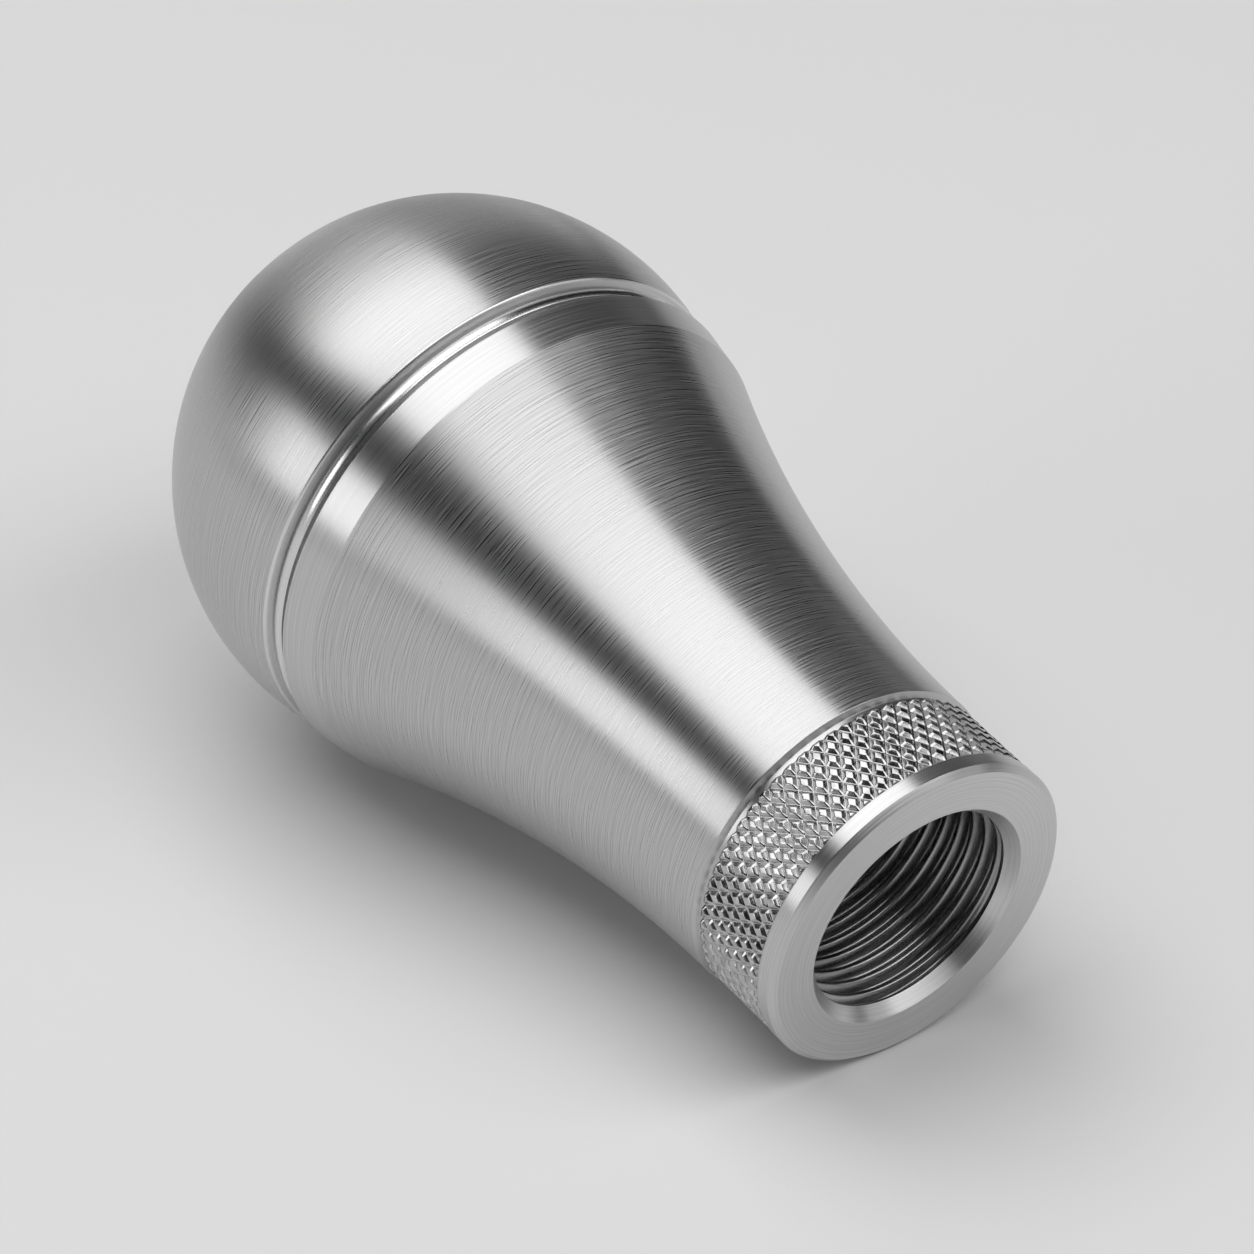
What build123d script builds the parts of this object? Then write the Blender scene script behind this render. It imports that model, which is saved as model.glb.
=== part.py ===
from build123d import *
import math
import os

# Gear shift knob, turned in one piece from stainless bar.
# Z is the axis. Z = 0 is the flat end face of the collar, where the shift lever enters.
# The ball is at the top, so the knob stands on its collar. All sizes are in mm.

# Ball
BALL_D = 46.0
BALL_DROP = 5.1
BALL_EDGE = 0.15

# Groove below the ball, with the bead in it. The bead has straight sides and a crowned top.
GROOVE_WIDTH = 2.25
GROOVE_DEPTH = 0.95
GROOVE_WALL = 0.35
BEAD_GAP = 0.2
BEAD_HALF_WIDTH = 0.5
BEAD_HEIGHT = 0.62
BEAD_CROWN = 0.15

# Land between the groove and the shoulder, slightly conical
LAND_LENGTH = 3.35
LAND_SETBACK = 0.6
LAND_ANGLE = 9.5
LAND_EDGE = 0.12

# Neck, one long hollow curve from the shoulder down to the knurl
NECK_LENGTH = 39.05
NECK_END_D = 28.2
NECK_CURVE_R = 105.0
NECK_EDGE = 0.3

# Diamond knurl and the narrow relief above it
RELIEF_LENGTH = 0.55
RELIEF_DEPTH = 0.35
KNURL_SETBACK = 0.05
KNURL_LENGTH = 7.2
KNURL_DEPTH = 0.3
KNURL_TEETH = 62
KNURL_ROWS = 7
KNURL_TOP_SHARE = 0.47

# Collar and its end face
COLLAR_D = 28.0
COLLAR_LENGTH = 1.8
COLLAR_CHAMFER = 0.5

# Blind bore for the lever, M20 x 1.5. Its wall is left at the size of the thread's crests.
THREAD_MAJOR_D = 20.0
THREAD_PITCH = 1.5
BORE_DEPTH = 32.0
DRILL_POINT_ANGLE = 118.0
MOUTH_MARGIN = 0.05
MOUTH_DEPTH = 1.05

# Heights that follow from the sizes above
z_knurl = COLLAR_LENGTH
z_relief = z_knurl + KNURL_LENGTH
z_step = z_relief + RELIEF_LENGTH
z_neck = z_step + NECK_EDGE
z_shoulder = z_neck + NECK_LENGTH
z_land = z_shoulder + LAND_LENGTH
z_ball = z_land + GROOVE_WIDTH
z_centre = z_ball + BALL_DROP

# Radii that follow from the sizes above
ball_r = BALL_D / 2
ball_edge_r = math.sqrt(ball_r**2 - BALL_DROP**2)
land_r = ball_r - LAND_SETBACK
shoulder_r = land_r - LAND_LENGTH * math.tan(math.radians(LAND_ANGLE))
groove_r = land_r - GROOVE_DEPTH
collar_r = COLLAR_D / 2
crest_r = collar_r - KNURL_SETBACK
root_r = crest_r - KNURL_DEPTH
relief_r = crest_r - RELIEF_DEPTH
bore_r = (THREAD_MAJOR_D - 1.0825 * THREAD_PITCH) / 2
mouth_r = THREAD_MAJOR_D / 2 + MOUTH_MARGIN


def turned(*profile):
    """Solid of revolution about Z. The profile is a closed run of lines (two points) and
    arcs (three points), each point given as radius and height."""
    edges = []
    for points in profile:
        spots = [Vector(r, 0, z) for r, z in points]
        make = Edge.make_line if len(spots) == 2 else Edge.make_three_point_arc
        edges.append(make(*spots))
    return revolve(Face(Wire(edges)), Axis.Z)


def hollow_middle(low, high, radius):
    """Middle of the arc of this radius from low to high that bows towards the axis."""
    dr, dz = high[0] - low[0], high[1] - low[1]
    half = math.hypot(dr, dz) / 2
    bow = radius - math.sqrt(radius**2 - half**2)
    return ((low[0] + high[0] - bow * dz / half) / 2, (low[1] + high[1] + bow * dr / half) / 2)


def on_ball(z):
    """Point of the ball's outline at a height."""
    return (math.sqrt(ball_r**2 - (z - z_centre) ** 2), z)


# Collar below the knurl
collar_face = (collar_r - COLLAR_CHAMFER, 0)
collar_edge = (collar_r, COLLAR_CHAMFER)
collar_top = (collar_r, z_knurl)
collar = turned(
    [(0, 0), collar_face],
    [collar_face, collar_edge],
    [collar_edge, collar_top],
    [collar_top, (0, z_knurl)],
    [(0, z_knurl), (0, 0)],
)

# Relief, neck, land, groove with its bead, and ball, from the knurl up
relief_low = (relief_r, z_relief)
relief_high = (relief_r, z_step)
neck_low = (NECK_END_D / 2, z_neck)
shoulder = (shoulder_r, z_shoulder)
land_high = (land_r - LAND_EDGE * math.tan(math.radians(LAND_ANGLE)), z_land - LAND_EDGE)
land_lip = (land_r - LAND_EDGE, z_land)
groove_low = (groove_r, z_land)
wall_low = (groove_r, z_ball - GROOVE_WALL)
bead_high = (groove_r, wall_low[1] - BEAD_GAP)
bead_low = (groove_r, bead_high[1] - 2 * BEAD_HALF_WIDTH)
bead_crest = (groove_r + BEAD_HEIGHT, bead_high[1] - BEAD_HALF_WIDTH)
crown_high = (bead_crest[0] - BEAD_CROWN, bead_high[1])
crown_low = (bead_crest[0] - BEAD_CROWN, bead_low[1])
ball_lip = (ball_edge_r - BALL_EDGE, z_ball)
ball_low = on_ball(z_ball + BALL_EDGE)
ball_top = (0, z_centre + ball_r)
upper = turned(
    [(0, z_relief), relief_low],
    [relief_low, relief_high],
    [relief_high, neck_low],
    [neck_low, hollow_middle(neck_low, shoulder, NECK_CURVE_R), shoulder],
    [shoulder, land_high],
    [land_high, land_lip],
    [land_lip, groove_low],
    [groove_low, bead_low],
    [bead_low, crown_low],
    [crown_low, bead_crest, crown_high],
    [crown_high, bead_high],
    [bead_high, wall_low],
    [wall_low, ball_lip],
    [ball_lip, ball_low],
    [ball_low, on_ball(z_centre + ball_r / 2), ball_top],
    [ball_top, (0, z_relief)],
)

# Knurled band, a disc whose rim carries rows of flat-topped pyramids
half_turn = math.pi / KNURL_TEETH
half_row = KNURL_LENGTH / KNURL_ROWS
root_x = root_r * math.cos(half_turn)
root_y = root_r * math.sin(half_turn)
top_y = root_y * KNURL_TOP_SHARE
top_x = math.sqrt(crest_r**2 - top_y**2)
tip_x = top_x + (root_r - root_x) * KNURL_TOP_SHARE


def around(x, y, z, turn):
    """Point x outwards and y sideways, carried round the axis by an angle."""
    cos, sin = math.cos(turn), math.sin(turn)
    return Vector(x * cos - y * sin, x * sin + y * cos, z)


def flat(*corners):
    """Flat face with the given corners."""
    return Face(Wire.make_polygon(corners, close=True))


def half_pyramid(turn, z, rise):
    """The half of one pyramid above its middle (rise 1) or below it (rise -1)."""
    root_tip = around(root_r, 0, z + rise * half_row, turn)
    top_tip = around(tip_x, 0, z + rise * half_row * KNURL_TOP_SHARE, turn)
    tops = [around(top_x, side * top_y, z, turn) for side in (-1, 1)]
    roots = [around(root_x, side * root_y, z, turn) for side in (-1, 1)]
    flanks = [flat(top, root, root_tip, top_tip) for top, root in zip(tops, roots)]
    return [flat(*tops, top_tip), *flanks]


def knurled_disc():
    """Closed disc. Each row of pyramids is turned by half a tooth from the one below it."""
    faces = []
    for row in range(KNURL_ROWS + 1):
        z = z_knurl + row * half_row
        turns = [(2 * tooth + row % 2) * half_turn for tooth in range(KNURL_TEETH)]
        for turn in turns:
            if row < KNURL_ROWS:
                faces += half_pyramid(turn, z, 1)
            if row > 0:
                faces += half_pyramid(turn, z, -1)
        if row in (0, KNURL_ROWS):
            rim = []
            for turn in turns:
                rim.append(around(root_x, -root_y, z, turn))
                rim.append(around(top_x, -top_y, z, turn))
                rim.append(around(top_x, top_y, z, turn))
            faces.append(flat(*rim))
    return Solid(Shell(faces))


# Blind bore with its wide mouth, and the cone that the drill leaves at its end
point_depth = bore_r / math.tan(math.radians(DRILL_POINT_ANGLE / 2))
bore = turned(
    [(0, -MOUTH_DEPTH), (mouth_r, -MOUTH_DEPTH)],
    [(mouth_r, -MOUTH_DEPTH), (mouth_r, 0)],
    [(mouth_r, 0), (bore_r, MOUTH_DEPTH)],
    [(bore_r, MOUTH_DEPTH), (bore_r, BORE_DEPTH)],
    [(bore_r, BORE_DEPTH), (0, BORE_DEPTH + point_depth)],
    [(0, BORE_DEPTH + point_depth), (0, -MOUTH_DEPTH)],
)

# Collar, disc and upper part only meet face to face, so they are glued before the bore is cut
knob = knurled_disc().fuse(collar, upper, glue=True) - bore
print("knob valid:", knob.is_valid, "volume cm3:", round(knob.volume / 1000, 3))
print("bore radius:", bore_r, "height:", z_centre + ball_r)

os.makedirs("parts", exist_ok=True)
export_step(knob, "parts/knob_body.step")
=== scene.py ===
import math

import bpy
import numpy as np
from mathutils import Matrix, Vector


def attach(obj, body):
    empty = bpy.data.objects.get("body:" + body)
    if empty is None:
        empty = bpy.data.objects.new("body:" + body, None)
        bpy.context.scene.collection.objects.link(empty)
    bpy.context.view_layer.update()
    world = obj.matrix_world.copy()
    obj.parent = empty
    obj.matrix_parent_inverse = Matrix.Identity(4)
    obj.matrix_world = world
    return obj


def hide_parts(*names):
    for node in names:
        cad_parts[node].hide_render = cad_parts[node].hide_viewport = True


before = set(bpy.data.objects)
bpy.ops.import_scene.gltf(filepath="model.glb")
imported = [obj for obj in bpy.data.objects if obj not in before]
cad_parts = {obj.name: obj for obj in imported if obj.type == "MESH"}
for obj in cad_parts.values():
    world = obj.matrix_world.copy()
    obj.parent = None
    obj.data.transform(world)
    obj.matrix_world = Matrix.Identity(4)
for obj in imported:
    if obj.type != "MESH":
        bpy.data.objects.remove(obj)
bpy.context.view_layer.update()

# Gear shift knob, turned in one piece from stainless steel bar and lying on its side on a pale
# floor. The frame has Z along the knob's axis, with the flat end face of the collar at Z = 0.
# Sizes are in millimetres, as in the part's source, and MM turns them to Blender's metres.
MM = 0.001

# Ball
BALL_R = 23.0
BALL_DROP = 5.1
BALL_EDGE = 0.15

# Groove below the ball, with the bead in it. The bead has straight sides and a crowned top.
GROOVE_WIDTH = 2.25
GROOVE_DEPTH = 0.95
GROOVE_WALL = 0.35
BEAD_GAP = 0.2
BEAD_HALF_WIDTH = 0.5
BEAD_HEIGHT = 0.62
BEAD_CROWN = 0.15

# Land between the groove and the shoulder, slightly conical
LAND_LENGTH = 3.35
LAND_SETBACK = 0.6
LAND_ANGLE = 9.5
LAND_EDGE = 0.12

# Neck, one long hollow curve from the shoulder down to the knurl
NECK_LENGTH = 39.05
NECK_END_R = 14.1
NECK_CURVE_R = 105.0
NECK_EDGE = 0.3

# Diamond knurl and the narrow relief above it
RELIEF_LENGTH = 0.55
RELIEF_DEPTH = 0.35
KNURL_SETBACK = 0.05
KNURL_LENGTH = 7.2
KNURL_TEETH = 62
KNURL_ROWS = 7

# Collar and its end face
COLLAR_R = 14.0
COLLAR_LENGTH = 1.8
COLLAR_CHAMFER = 0.5

# Blind bore with its M20 x 1.5 thread. An ISO thread's crests are 1.0825 pitches smaller across
# than its roots. The thread starts a little way behind the mouth's cone.
ISO_SHARE = 1.0825
THREAD_MAJOR_R = 10.0
THREAD_PITCH = 1.5
THREAD_LENGTH = 29.0
THREAD_START = 0.15
BORE_DEPTH = 32.0
DRILL_POINT_ANGLE = 118.0
MOUTH_MARGIN = 0.05
MOUTH_DEPTH = 1.05

# Heights and radii that follow
z_knurl = COLLAR_LENGTH
z_relief = z_knurl + KNURL_LENGTH
z_step = z_relief + RELIEF_LENGTH
z_neck = z_step + NECK_EDGE
z_shoulder = z_neck + NECK_LENGTH
z_land = z_shoulder + LAND_LENGTH
z_ball = z_land + GROOVE_WIDTH
z_centre = z_ball + BALL_DROP
land_r = BALL_R - LAND_SETBACK
land_slope = math.tan(math.radians(LAND_ANGLE))
shoulder_r = land_r - LAND_LENGTH * land_slope
groove_r = land_r - GROOVE_DEPTH
ball_edge_r = math.sqrt(BALL_R**2 - BALL_DROP**2)
crest_r = COLLAR_R - KNURL_SETBACK
relief_r = crest_r - RELIEF_DEPTH
bore_r = THREAD_MAJOR_R - ISO_SHARE * THREAD_PITCH / 2
mouth_r = THREAD_MAJOR_R + MOUTH_MARGIN
z_thread = MOUTH_DEPTH + THREAD_START
point_depth = bore_r / math.tan(math.radians(DRILL_POINT_ANGLE / 2))

# Columns round the axis. The knurl has four times as many, six to each half tooth, and the thread
# past the mouth half as many.
AROUND = 3 * KNURL_TEETH
KNURL_CUTS = 6
THREAD_AROUND = AROUND // 2

# Rows up the bore: a step between rows and the height that they reach. They are close together at
# the mouth, wider where the thread is seen at a slant and widest where it is out of sight.
MOUTH_STEP, MOUTH_END = 0.06, 3.5
SEEN_STEP, SEEN_END = 0.095, 13.5
DEEP_STEP, DEEP_END = 0.19, THREAD_LENGTH + 0.1

# Rows on the plain wall past the thread, and on the drill's cone as shares of its depth
END_ROWS = (THREAD_LENGTH + 1.0, BORE_DEPTH - 0.1)
POINT_ROWS = (0.0, 0.1, 0.5, 0.97)

# Finishes, in the order of the knob's material slots
BRUSHED, TURNED, POLISHED, KNURLED, FACED, THREADED = range(6)


# ---------------------------------------------------------------- profile


def straight(start, end, steps=1):
    """Points of a straight line, spaced evenly."""
    return np.linspace(start, end, steps + 1)


def arc(start, end, centre, steps):
    """Points of a circular arc about a centre, by even turns from the start's angle to the end's.
    Each is the centre plus the radius times the cosine and the sine of its angle."""
    spokes = np.array([start, end]) - centre
    angles = np.arctan2(spokes[:, 1], spokes[:, 0])
    angles = np.linspace(angles[0], angles[1], steps + 1)
    radius = np.hypot(*spokes[0])
    return np.stack([centre[0] + radius * np.cos(angles), centre[1] + radius * np.sin(angles)], 1)


def hollow_centre(low, high, radius):
    """Centre of the arc of this radius through two points that bows towards the axis: half way
    along the chord, then outwards at right angles to it."""
    low, high = np.array(low), np.array(high)
    chord = high - low
    half = np.hypot(*chord) / 2
    out = np.array([chord[1], -chord[0]]) / (2 * half)
    return (low + high) / 2 + out * math.sqrt(radius**2 - half**2)


def cut_back(points, start, end, support):
    """A run of points shortened at each end by a length along it. A further row stands close
    beside each new end, so that shading stays flat up to the edge."""
    along = np.concatenate([[0], np.cumsum(np.hypot(*np.diff(points, axis=0).T))])
    low, high = start, along[-1] - end
    stops = [low, high]
    if high - low > 3 * support:
        inner = along[(along > low + 1.5 * support) & (along < high - 1.5 * support)]
        stops = [low, low + support, *inner, high - support, high]
    return np.stack([np.interp(stops, along, points[:, k]) for k in (0, 1)], 1)


def outline(runs, support=0.1, steps=4):
    """Rows of a turned profile. Each run is its points, its finish and the radius that rounds the
    corner at its end. A rounded corner is a conic from one run to the next, drawn to the old corner
    with the cosine of half the turn as its weight, which makes it a true arc. Where two finishes
    meet, the corner takes the one that comes later in their list."""
    cuts, weights = [0.0], []
    for (points, _, radius), (following, _, _) in zip(runs, runs[1:]):
        a, b = points[-1] - points[-2], following[1] - following[0]
        turn = math.acos(np.clip(a @ b / (np.hypot(*a) * np.hypot(*b)), -1, 1))
        cuts.append(radius * math.tan(turn / 2))
        weights.append(math.cos(turn / 2))
    cuts.append(0.0)
    rows, finishes = [], []
    for k, (points, finish, radius) in enumerate(runs):
        run = cut_back(points, cuts[k], cuts[k + 1], support)
        if k and not cuts[k]:
            run = run[1:]
        rows.append(run)
        finishes += [finish] * len(run)
        if k + 1 < len(runs) and cuts[k + 1]:
            start = run[-1]
            following = cut_back(runs[k + 1][0], cuts[k + 1], cuts[k + 2], support)
            end, corner = following[0], points[-1]
            t = np.linspace(0, 1, steps + 1)[1:-1, None]
            shares = [(1 - t) ** 2, 2 * weights[k] * t * (1 - t), t**2]
            bend = (shares[0] * start + shares[1] * corner + shares[2] * end) / sum(shares)
            rows.append(bend)
            finishes += [max(finish, runs[k + 1][1])] * len(bend)
    return np.concatenate(rows), finishes


# ---------------------------------------------------------------- knob surfaces


def turned(profile, columns):
    """Surface of revolution. Each profile point, a radius and a height, is carried round the axis:
    x is the radius times the cosine of the turn and y the radius times its sine."""
    turn = np.arange(columns) * 2 * np.pi / columns
    r, z = profile[:, :1], profile[:, 1:]
    return np.stack([r * np.cos(turn), r * np.sin(turn), z + 0 * turn], 2)


# Distance from a pyramid's middle, as a share of the way to the groove, and depth there in mm:
# flat top, its slightly broken edge, the flank, and the groove's small round bottom
KNURL_LEVELS = np.array(
    [(0, 0), (0.25, 0), (0.43, 0.002), (0.5, 0.02), (0.8, 0.187), (0.93, 0.258), (1, 0.285)]
)


def knurl():
    """Diamond knurl, a grid of turns and heights in half teeth and half rows. Two families of
    slanting lines, turn plus height and turn minus height, are spaced by KNURL_LEVELS, so that the
    grooves and the edges of each pyramid's flat top all fall on the grid. The depth follows the
    larger distance from the pyramid's middle along the two."""
    column = np.arange(2 * KNURL_TEETH * KNURL_CUTS)
    row = np.arange(KNURL_ROWS * KNURL_CUTS, -1, -1)[:, None]
    rising, falling = column + row, column - row

    def spaced(steps):
        whole = 2 * np.round(steps / (2 * KNURL_CUTS))
        rest = steps - whole * KNURL_CUTS
        return whole + np.sign(rest) * KNURL_LEVELS[np.abs(rest).astype(int), 0], np.abs(rest)

    a, a_steps = spaced(rising)
    b, b_steps = spaced(falling)
    depth = KNURL_LEVELS[np.maximum(a_steps, b_steps).astype(int), 1]
    turn = (a + b) / 2 * math.pi / KNURL_TEETH
    z = z_knurl + (a - b) / 2 * KNURL_LENGTH / KNURL_ROWS
    r = crest_r - depth
    return np.stack([r * np.cos(turn), r * np.sin(turn), z], 2)


# Thread, in pitches: half the flat crest, and the flank. Then the rounding of its corners as a
# share of the flank, and the way in mm to its full depth.
CREST_SHARE = 0.125
FLANK_SHARE = 0.3125
CORNER_SHARE = 0.07
RUN_IN = 0.6


def bore_wall(heights, columns):
    """Wall of the bore. The thread rises one pitch a turn, so a point's way from the middle of the
    nearest crest is what is left of its height in pitches less its turn. Away from there the wall
    is flat, then falls along the 60 degree flank to the root, with both corners slightly rounded.
    It runs in behind the mouth's cone, and out again before the bore's end."""
    turn = np.arange(columns) * 2 * np.pi / columns
    z = heights[:, None]
    away = np.abs((z / THREAD_PITCH - turn / (2 * np.pi) + 0.5) % 1 - 0.5)
    fall = (away - CREST_SHARE) / FLANK_SHARE
    fall = (np.hypot(fall, CORNER_SHARE) - np.hypot(fall - 1, CORNER_SHARE) + 1) / 2
    run_in = np.clip((z - z_thread) / RUN_IN, 0, 1)
    run_out = np.clip((THREAD_LENGTH - z) / THREAD_PITCH, 0, 1)
    r = bore_r + (THREAD_MAJOR_R - bore_r) * fall * run_in * run_out
    return np.stack([r * np.cos(turn), r * np.sin(turn), z + 0 * turn], 2)


def middle_row(section):
    """Mean radius and height of each row of a section."""
    radius = np.hypot(section[:, :, 0], section[:, :, 1])
    return np.stack([radius.mean(1), section[:, :, 2].mean(1)], 1)


def weave(rows, columns, first):
    """Four-sided faces between the rows of a closed grid whose points are numbered row by row."""
    i, j = np.meshgrid(np.arange(rows - 1), np.arange(columns), indexing="ij")
    k = (j + 1) % columns
    corners = [i * columns + j, (i + 1) * columns + j, (i + 1) * columns + k, i * columns + k]
    return first + np.stack(corners, -1).reshape(-1, 4)


def knurl_faces(rows, columns, first):
    """Triangles of the knurl's grid. Each square is split along the groove that runs past it, which
    changes side from one half tooth and half row to the next, like a chessboard."""
    quads = weave(rows, columns, 0)
    i, j = np.divmod(quads[:, 0], columns)
    odd = (j // KNURL_CUTS + (rows - 2 - i) // KNURL_CUTS) % 2
    split = np.where(
        odd[:, None, None], quads[:, [[0, 1, 3], [1, 2, 3]]], quads[:, [[0, 1, 2], [0, 2, 3]]]
    )
    return first + split.reshape(-1, 3)


def join(coarse, fine, count, ratio, coarse_first):
    """Triangles between a ring of count points and one of ratio times as many. Each coarse point
    fans to the fine points beside it."""
    i = np.arange(count)
    k = (i + 1) % count
    half = ratio // 2
    spots = [fine + (ratio * i + step) % (ratio * count) for step in range(ratio + 1)]
    faces = [(coarse + (i if s < half else k), spots[s], spots[s + 1]) for s in range(ratio)]
    faces.append((coarse + i, spots[half], coarse + k))
    faces = np.concatenate([np.stack(face, 1) for face in faces])
    return faces if coarse_first else faces[:, ::-1]


def knob_profiles():
    """Profiles above and below the knurl, from the top of the ball down the outside and round to
    the mouth of the bore. Each run is named by its two ends, and its last number is the radius that
    rounds the corner below it."""
    ball_top = (0, z_centre + BALL_R)
    ball_low = (math.sqrt(BALL_R**2 - (BALL_DROP - BALL_EDGE) ** 2), z_ball + BALL_EDGE)
    ball_lip = (ball_edge_r - BALL_EDGE, z_ball)
    wall_low = (groove_r, z_ball - GROOVE_WALL)
    bead_z = wall_low[1] - BEAD_GAP - BEAD_HALF_WIDTH
    bead_high, bead_low = [(groove_r, bead_z + side * BEAD_HALF_WIDTH) for side in (1, -1)]
    crown_r = groove_r + BEAD_HEIGHT - BEAD_CROWN
    crown_high, crown_low = (crown_r, bead_high[1]), (crown_r, bead_low[1])
    crown_round = (BEAD_HALF_WIDTH**2 + BEAD_CROWN**2) / (2 * BEAD_CROWN)
    crown_centre = (groove_r + BEAD_HEIGHT - crown_round, bead_z)
    groove_low = (groove_r, z_land)
    land_lip = (land_r - LAND_EDGE, z_land)
    land_high = (land_r - LAND_EDGE * land_slope, z_land - LAND_EDGE)
    shoulder = (shoulder_r, z_shoulder)
    neck_low = (NECK_END_R, z_neck)
    neck_centre = hollow_centre(neck_low, shoulder, NECK_CURVE_R)
    relief_high, relief_low = (relief_r, z_step), (relief_r, z_relief)
    upper = [
        (arc(ball_top, ball_low, (0, z_centre), 50), BRUSHED, 0.28),
        (straight(ball_low, ball_lip), POLISHED, 0.28),
        (straight(ball_lip, wall_low), FACED, 0.1),
        (straight(wall_low, bead_high), TURNED, 0.03),
        (straight(bead_high, crown_high), TURNED, 0.06),
        (arc(crown_high, crown_low, crown_centre, 10), POLISHED, 0.06),
        (straight(crown_low, bead_low), TURNED, 0.03),
        (straight(bead_low, groove_low), TURNED, 0.03),
        (straight(groove_low, land_lip), TURNED, 0.04),
        (straight(land_lip, land_high), POLISHED, 0.04),
        (straight(land_high, shoulder, 4), TURNED, 0.12),
        (arc(shoulder, neck_low, neck_centre, 24), BRUSHED, 0.07),
        (straight(neck_low, relief_high), TURNED, 0.05),
        (straight(relief_high, relief_low), TURNED, 0.0),
    ]
    collar_top, collar_edge = (COLLAR_R, z_knurl), (COLLAR_R, COLLAR_CHAMFER)
    face_edge, mouth, cone_end = (COLLAR_R - COLLAR_CHAMFER, 0), (mouth_r, 0), (bore_r, MOUTH_DEPTH)
    lower = [
        (straight((crest_r, z_knurl), collar_top), TURNED, 0.04),
        (straight(collar_top, collar_edge), TURNED, 0.05),
        (straight(collar_edge, face_edge), TURNED, 0.05),
        (straight(face_edge, mouth, 6), FACED, 0.06),
        (straight(mouth, cone_end, 2), FACED, 0.05),
        (straight(cone_end, (bore_r, z_thread)), THREADED, 0.0),
    ]
    return outline(upper), outline(lower)


def make_knob():
    """The whole knob as one closed mesh, built in sections from the top of the ball down the
    outside and up the bore, each joined to the next. The grain attribute holds the cosine and sine
    of each point's turn and the way along the profile in mm, for the lines of the finishes."""
    (upper, upper_finish), (lower, lower_finish) = knob_profiles()
    upper, lower = upper[1:], lower[1:]
    mouth_rows = np.arange(z_thread + MOUTH_STEP, MOUTH_END, MOUTH_STEP)
    seen_rows = np.arange(mouth_rows[-1] + SEEN_STEP, SEEN_END, SEEN_STEP)
    deep_rows = np.arange(seen_rows[-1] + DEEP_STEP, DEEP_END, DEEP_STEP)
    point_z = np.array(POINT_ROWS) * point_depth
    point = np.stack([bore_r * (1 - point_z / point_depth), BORE_DEPTH + point_z], 1)
    sections = [
        turned(upper, AROUND),
        knurl(),
        turned(lower, AROUND),
        bore_wall(mouth_rows, AROUND),
        bore_wall(np.concatenate([seen_rows, deep_rows, END_ROWS]), THREAD_AROUND),
        turned(point, THREAD_AROUND),
    ]
    firsts = np.cumsum([1] + [s.shape[0] * s.shape[1] for s in sections])
    lasts = [first - s.shape[1] for first, s in zip(firsts[1:], sections)]
    top, bottom = 0, firsts[-1]
    faces, finishes = [], []

    def add(some, finish):
        faces.extend(some.tolist())
        finishes.append(np.broadcast_to(finish, len(some)))

    def fan(ring, columns, tip, outwards):
        i = ring + np.arange(columns)
        k = ring + (np.arange(columns) + 1) % columns
        add(np.stack([i, k, 0 * i + tip], 1)[:, ::outwards], BRUSHED if outwards == 1 else THREADED)

    fan(firsts[0], AROUND, top, 1)
    add(weave(len(upper), AROUND, firsts[0]), np.repeat(upper_finish[1:-1], AROUND))
    add(join(lasts[0], firsts[1], AROUND, 4, True), KNURLED)
    add(knurl_faces(*sections[1].shape[:2], firsts[1]), KNURLED)
    add(join(firsts[2], lasts[1], AROUND, 4, False), TURNED)
    add(weave(len(lower), AROUND, firsts[2]), np.repeat(lower_finish[1:-1], AROUND))
    add(weave(2, AROUND, lasts[2]), THREADED)
    add(weave(len(mouth_rows), AROUND, firsts[3]), THREADED)
    add(join(firsts[4], lasts[3], THREAD_AROUND, 2, False), THREADED)
    add(weave(sections[4].shape[0], THREAD_AROUND, firsts[4]), THREADED)
    add(weave(2, THREAD_AROUND, lasts[4]), THREADED)
    add(weave(len(point), THREAD_AROUND, firsts[5]), THREADED)
    fan(lasts[5], THREAD_AROUND, bottom, -1)

    tips = [[(0, 0, z_centre + BALL_R)], [(0, 0, BORE_DEPTH + point_depth)]]
    points = np.concatenate([tips[0], *[s.reshape(-1, 3) for s in sections], tips[1]])
    mesh = bpy.data.meshes.new("shift_knob")
    mesh.from_pydata((points * MM).tolist(), [], faces)
    mesh.polygons.foreach_set("material_index", np.concatenate(finishes).astype(np.int32))
    mesh.polygons.foreach_set("use_smooth", np.ones(len(mesh.polygons), bool))
    radius = np.hypot(points[:, 0], points[:, 1])
    around = points[:, :2] / np.maximum(radius, 1e-6)[:, None]
    profile = np.concatenate([[(0, z_centre + BALL_R)], *[middle_row(s) for s in sections]])
    steps = np.hypot(*np.diff(profile, axis=0).T)
    along = np.concatenate([[0], np.cumsum(steps)])
    counts = [1] + [s.shape[1] for s in sections for _ in range(s.shape[0])]
    along = np.append(np.repeat(along, counts), along[-1] + bore_r)
    grain = mesh.attributes.new("grain", "FLOAT_VECTOR", "POINT")
    grain.data.foreach_set("vector", np.column_stack([around, along]).astype(np.float32).ravel())
    mesh.update()
    knob = bpy.data.objects.new("shift_knob", mesh)
    bpy.context.scene.collection.objects.link(knob)
    return knob


# ---------------------------------------------------------------- materials


def linear(colour):
    """Linear red, green, blue and alpha of an sRGB hex colour."""
    parts = [int(colour[k : k + 2], 16) / 255 for k in (1, 3, 5)]
    return [c / 12.92 if c <= 0.04045 else ((c + 0.055) / 1.055) ** 2.4 for c in parts] + [1.0]


def node(tree, kind, inputs=None, **settings):
    """Adds a node. Each input gets a plain value, or the output socket that feeds it."""
    made = tree.nodes.new(kind)
    for name, value in settings.items():
        setattr(made, name, value)
    for name, value in (inputs or {}).items():
        if isinstance(value, bpy.types.NodeSocket):
            tree.links.new(value, made.inputs[name])
        else:
            made.inputs[name].default_value = value
    return made


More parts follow.
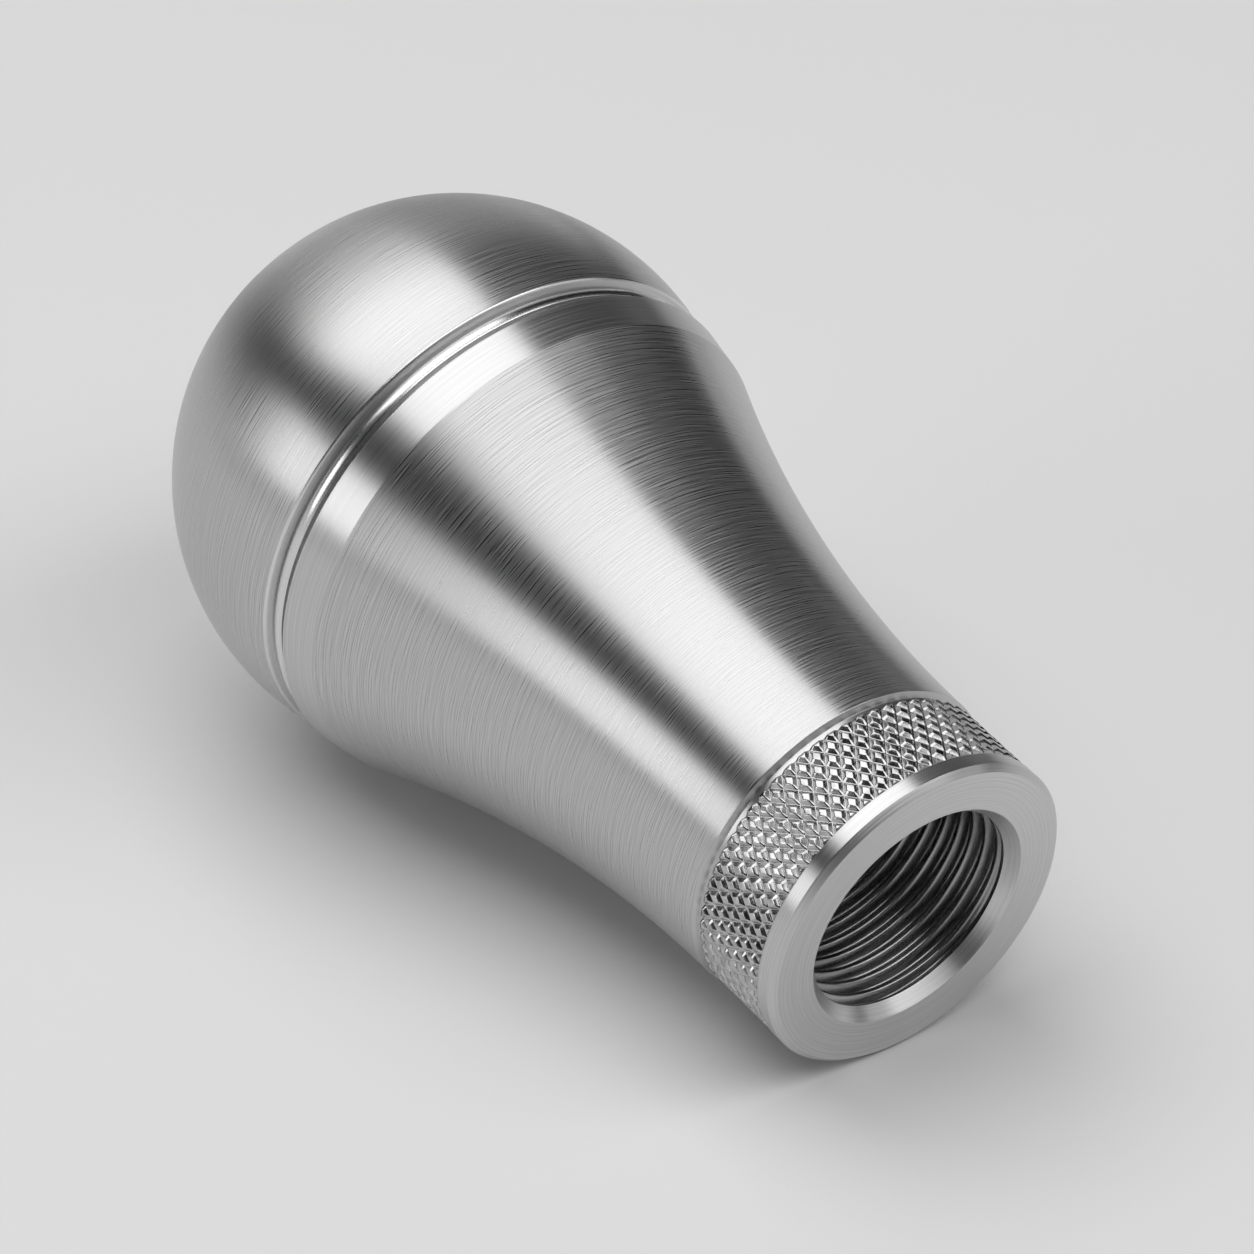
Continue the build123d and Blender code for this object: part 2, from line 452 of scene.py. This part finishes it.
def blank(name):
    """A new material with an empty node tree."""
    material = bpy.data.materials.new(name)
    material.use_nodes = True
    material.node_tree.nodes.clear()
    return material, material.node_tree


# Radius in mm at which a line has its full length, between the ball's and the collar's
GRAIN_R = 20.0

# How far the difference of two noises goes to either side of nothing, leaving its rare peaks out
TONE_SPAN = 0.25


def lines(tree, spacing, length, lean, shift=0.0):
    """Noise drawn out round the axis, read from the grain attribute: the cosine and sine of the
    turn, and the way along the profile. Lines lie about a spacing apart and run for about a length,
    both in mm, and lean tilts them by that many mm to one side and back again on each turn. A shift
    along the profile is counted in spacings."""
    grain = node(tree, "ShaderNodeAttribute", attribute_name="grain")
    around = GRAIN_R / length
    spot = node(
        tree,
        "ShaderNodeVectorMath",
        {0: grain.outputs["Vector"], 1: (around, around, 1 / spacing)},
        operation="MULTIPLY",
    )
    tilt = node(
        tree,
        "ShaderNodeVectorMath",
        {0: grain.outputs["Vector"], 1: (0, lean / spacing, 0)},
        operation="DOT_PRODUCT",
    )
    tilt = node(tree, "ShaderNodeMath", {0: tilt.outputs["Value"], 1: shift}, operation="ADD")
    tilt = node(tree, "ShaderNodeCombineXYZ", {"Z": tilt.outputs[0]})
    spot = node(
        tree,
        "ShaderNodeVectorMath",
        {0: spot.outputs[0], 1: tilt.outputs[0]},
        operation="ADD",
    )
    return node(
        tree,
        "ShaderNodeTexNoise",
        {"Vector": spot.outputs[0], "Scale": 1.0, "Detail": 1.0, "Roughness": 0.5},
    ).outputs[0]


def between(tree, value, low, high, start, end):
    """A value from low to high, turned to one from start to end."""
    return node(
        tree,
        "ShaderNodeMapRange",
        {"Value": value, "From Min": low, "From Max": high, "To Min": start, "To Max": end},
    ).outputs[0]


def steel(name, dark, light, rough, anisotropic, spacing, length, lean, height):
    """Stainless steel with its grain round the axis, which draws each highlight out along the axis.
    The lines carry the tone, from dark to light, the roughness, from the first to the second, and a
    bump of this height in micrometres. The tone is the difference between the lines and the same
    lines one spacing on, so that it stays even over any wider band."""
    material, tree = blank(name)
    tone = node(
        tree,
        "ShaderNodeMath",
        {0: lines(tree, spacing, length, lean), 1: lines(tree, spacing, length, lean, 1.0)},
        operation="SUBTRACT",
    ).outputs[0]
    share = between(tree, tone, -TONE_SPAN, TONE_SPAN, 0, 1)
    colour = node(
        tree,
        "ShaderNodeMix",
        {"Factor": share, 6: linear(dark), 7: linear(light)},
        data_type="RGBA",
    )
    bump = node(
        tree, "ShaderNodeBump", {"Height": tone, "Strength": 1.0, "Distance": height * 1e-6}
    )
    shader = node(
        tree,
        "ShaderNodeBsdfPrincipled",
        {
            "Base Color": colour.outputs[2],
            "Metallic": 1.0,
            "Roughness": between(tree, tone, -TONE_SPAN, TONE_SPAN, *rough),
            "Anisotropic": anisotropic,
            "Anisotropic Rotation": 0.25,
            "Normal": bump.outputs[0],
        },
    )
    node(tree, "ShaderNodeOutputMaterial", {"Surface": shader.outputs[0]})
    return material


# ---------------------------------------------------------------- stage

# Camera, in the frame's axes: its place in mm, and its angles in degrees. It stands to the +X side
# and below the collar's end face.
CAMERA_AT = (469.26, 0.0, -281.73)
CAMERA_TILT = 34.244
CAMERA_PAN = 0.09
CAMERA_ROLL = 46.43
CAMERA_TURN = -2.94
CAMERA_LENS = 206.7

# Floor: its half width in metres, and the azimuth of its upward direction
FLOOR_HALF = 3.0
FLOOR_AZIMUTH = 37.25

# Black hood: the height of its rim over the floor in degrees, and its radius in metres
HOOD_RIM = 5.0
HOOD_R = 1.6

# Height on the knob in mm that the lamps are aimed at
AIM_Z = 40.0

# The stage is turned about the knob's axis, which leaves the knob in the frame of its part
STAGE_TURN = Matrix.Rotation(math.radians(CAMERA_TURN), 4, "Z")


def direction(azimuth, height):
    """Unit vector at an azimuth round the knob's axis, counted from the camera's side, and at a
    height along the axis, both in degrees."""
    azimuth, height = math.radians(azimuth), math.radians(height)
    flat = math.cos(height)
    return Vector((flat * math.cos(azimuth), flat * math.sin(azimuth), math.sin(height)))


def floor_up():
    """Upward direction of the floor, which lies against the edges of the land and the collar."""
    lean = math.atan2(land_r - COLLAR_R, z_land - COLLAR_CHAMFER)
    return STAGE_TURN @ direction(FLOOR_AZIMUTH, math.degrees(lean))


def make_camera():
    """Camera looking back along -X and up along +Z, rolled so that the ball is at upper left."""
    tilt, pan = math.radians(CAMERA_TILT), math.radians(CAMERA_PAN)
    forward = Vector(
        (-math.cos(tilt) * math.cos(pan), math.cos(tilt) * math.sin(pan), math.sin(tilt))
    )
    aim = forward.to_track_quat("-Z", "Y").to_matrix().to_4x4()
    roll = Matrix.Rotation(-math.radians(CAMERA_ROLL), 4, "Z")
    camera = bpy.data.objects.new("camera", bpy.data.cameras.new("camera"))
    camera.data.lens = CAMERA_LENS
    camera.data.sensor_width = 36.0
    camera.data.clip_start, camera.data.clip_end = 0.01, 20.0
    camera.matrix_world = STAGE_TURN @ Matrix.Translation(Vector(CAMERA_AT) * MM) @ aim @ roll
    bpy.context.scene.collection.objects.link(camera)
    bpy.context.scene.camera = camera


def make_floor():
    """Matt pale paper that the edges of the land and the collar lie on. It is seen from above
    only, so that it hides nothing from a camera below it."""
    up = floor_up()
    drop = up.z * z_land - math.hypot(up.x, up.y) * land_r
    turn = up.to_track_quat("Z", "Y").to_matrix().to_4x4()
    spots = [(x * FLOOR_HALF, y * FLOOR_HALF, 0) for x, y in ((-1, -1), (1, -1), (1, 1), (-1, 1))]
    mesh = bpy.data.meshes.new("floor")
    mesh.from_pydata(spots, [], [(0, 1, 2, 3)])
    floor = bpy.data.objects.new("floor", mesh)
    floor.matrix_world = Matrix.Translation(up * drop * MM) @ turn
    bpy.context.scene.collection.objects.link(floor)
    material, tree = blank("pale_floor")
    paper = node(tree, "ShaderNodeBsdfDiffuse", {"Color": linear("#E6E6E6")})
    clear = node(tree, "ShaderNodeBsdfTransparent")
    facing = node(tree, "ShaderNodeNewGeometry")
    mix = node(
        tree,
        "ShaderNodeMixShader",
        {"Fac": facing.outputs["Backfacing"], 1: paper.outputs[0], 2: clear.outputs[0]},
    )
    node(tree, "ShaderNodeOutputMaterial", {"Surface": mix.outputs[0]})
    mesh.materials.append(material)


def softbox(name, azimuth, height, distance, width, length, brightness):
    """Rectangular lamp aimed at the neck, its length in line with the knob's axis. Distance, width
    and length are in metres. The brightness is that of its face, whatever its size."""
    lamp = bpy.data.objects.new(name, bpy.data.lights.new(name, "AREA"))
    lamp.data.shape = "RECTANGLE"
    lamp.data.size, lamp.data.size_y = width, length
    lamp.data.energy = brightness * math.pi * width * length
    away = STAGE_TURN @ direction(azimuth, height)
    aim = (-away).to_track_quat("-Z", "Y").to_matrix().to_4x4()
    lamp.matrix_world = Matrix.Translation(away * distance + Vector((0, 0, AIM_Z * MM))) @ aim
    lamp.visible_camera = False
    bpy.context.scene.collection.objects.link(lamp)


def make_hood():
    """Black cloth dome over the set, as used round bright metal, so that the steel reflects black
    between the lamps. Its rim stays above the floor, so that the pale surroundings show in the
    metal there. The camera looks through it."""
    up = floor_up()
    rise = np.radians(np.linspace(HOOD_RIM, 90, 13))[:-1, None]
    turn = np.radians(np.arange(0, 360, 10))
    flat = np.cos(rise)
    ring = np.stack([flat * np.cos(turn), flat * np.sin(turn), np.sin(rise) + 0 * turn], 2)
    points = np.concatenate([ring.reshape(-1, 3), [(0, 0, 1)]]) * HOOD_R
    rows, columns = ring.shape[:2]
    i = np.arange(columns)
    last = (rows - 1) * columns
    cap = np.stack([last + i, last + (i + 1) % columns, last + columns + 0 * i], 1)
    mesh = bpy.data.meshes.new("hood")
    mesh.from_pydata(points.tolist(), [], weave(rows, columns, 0).tolist() + cap.tolist())
    hood = bpy.data.objects.new("hood", mesh)
    hood.matrix_world = up.to_track_quat("Z", "Y").to_matrix().to_4x4()
    hood.visible_camera = False
    bpy.context.scene.collection.objects.link(hood)
    material, tree = blank("black_cloth")
    cloth = node(tree, "ShaderNodeBsdfDiffuse", {"Color": linear("#181818")})
    node(tree, "ShaderNodeOutputMaterial", {"Surface": cloth.outputs[0]})
    mesh.materials.append(material)


def make_world(strength):
    """Plain pale surroundings."""
    world = bpy.data.worlds.new("studio")
    world.use_nodes = True
    world.node_tree.nodes.clear()
    back = node(
        world.node_tree, "ShaderNodeBackground", {"Color": linear("#FFFFFF"), "Strength": strength}
    )
    node(world.node_tree, "ShaderNodeOutputWorld", {"Surface": back.outputs[0]})
    bpy.context.scene.world = world


scene = bpy.context.scene
scene.view_settings.view_transform = "Standard"

knob = make_knob()
# One steel in six finishes. Real brush lines are a few hundredths of a millimetre apart and would
# average out in the picture, so they are drawn about a tenth apart. After each name come the dark
# and the light tone, the roughness of dark and light lines, how far highlights are drawn out, and
# the lines' spacing, length and lean in mm and their height in micrometres.
finishes = (
    # Ball and neck: satin, with a broad soft highlight along the axis and fine lines round it that
    # show most in the dark bands
    steel("brushed_steel", "#ADADAD", "#CFCFCF", (0.27, 0.425), 0.8, 0.1, 5.0, 0.06, 1.0),
    # Land, groove, collar: a lathe's smooth cut, cleaner and a little sharper than the brushing
    steel("turned_steel", "#BEBEBE", "#CCCCCC", (0.3, 0.36), 0.8, 0.14, 12.0, 0.0, 0.6),
    # Bead and broken edges: bright thin lines
    steel("polished_steel", "#D2D2D2", "#DEDEDE", (0.24, 0.28), 0.6, 0.3, 20.0, 0.0, 0.2),
    # Knurl: pressed, not brushed, so that each small facet glints by itself
    steel("knurled_steel", "#A6A6A6", "#C8C8C8", (0.2, 0.28), 0.0, 0.6, 1.0, 0.3, 1.0),
    # End face, the mouth's cone and the wall below the ball: even pale grey with faint rings
    steel("faced_steel", "#C8C8C8", "#D6D6D6", (0.32, 0.38), 0.75, 0.14, 20.0, 0.0, 0.6),
    # Thread: a clean cut, bright on each crest and dark between, that darkens into the bore; its
    # tone is painted shade, darker than the other finishes
    steel("threaded_steel_painted_shade", "#949494", "#B4B4B4", (0.24, 0.3), 0.6, 0.17, 10.0, 0.0, 0.5),
)
for material in finishes:
    knob.data.materials.append(material)
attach(knob, "root")
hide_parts("knob_body")

make_camera()
make_floor()
make_hood()
# The back softbox draws the bright band down the knob, and the side one lifts the dark band to its
# left. The front two light the collar's end face, and the top fill the ball's upper edge. After
# each name come azimuth and height in degrees, distance, width and length in metres, brightness.
softbox("back_softbox", 29, 25, 0.9, 0.9, 0.85, 2.1)
softbox("front_softbox", 45, -26, 0.9, 1.12, 0.39, 1.75)
softbox("front_fill", 59, -30, 0.95, 1.86, 0.63, 0.72)
softbox("side_softbox", -36, 19, 0.9, 0.36, 0.57, 2.45)
softbox("top_fill", 62, 61, 1.0, 2.2, 0.5, 0.52)
make_world(0.6)
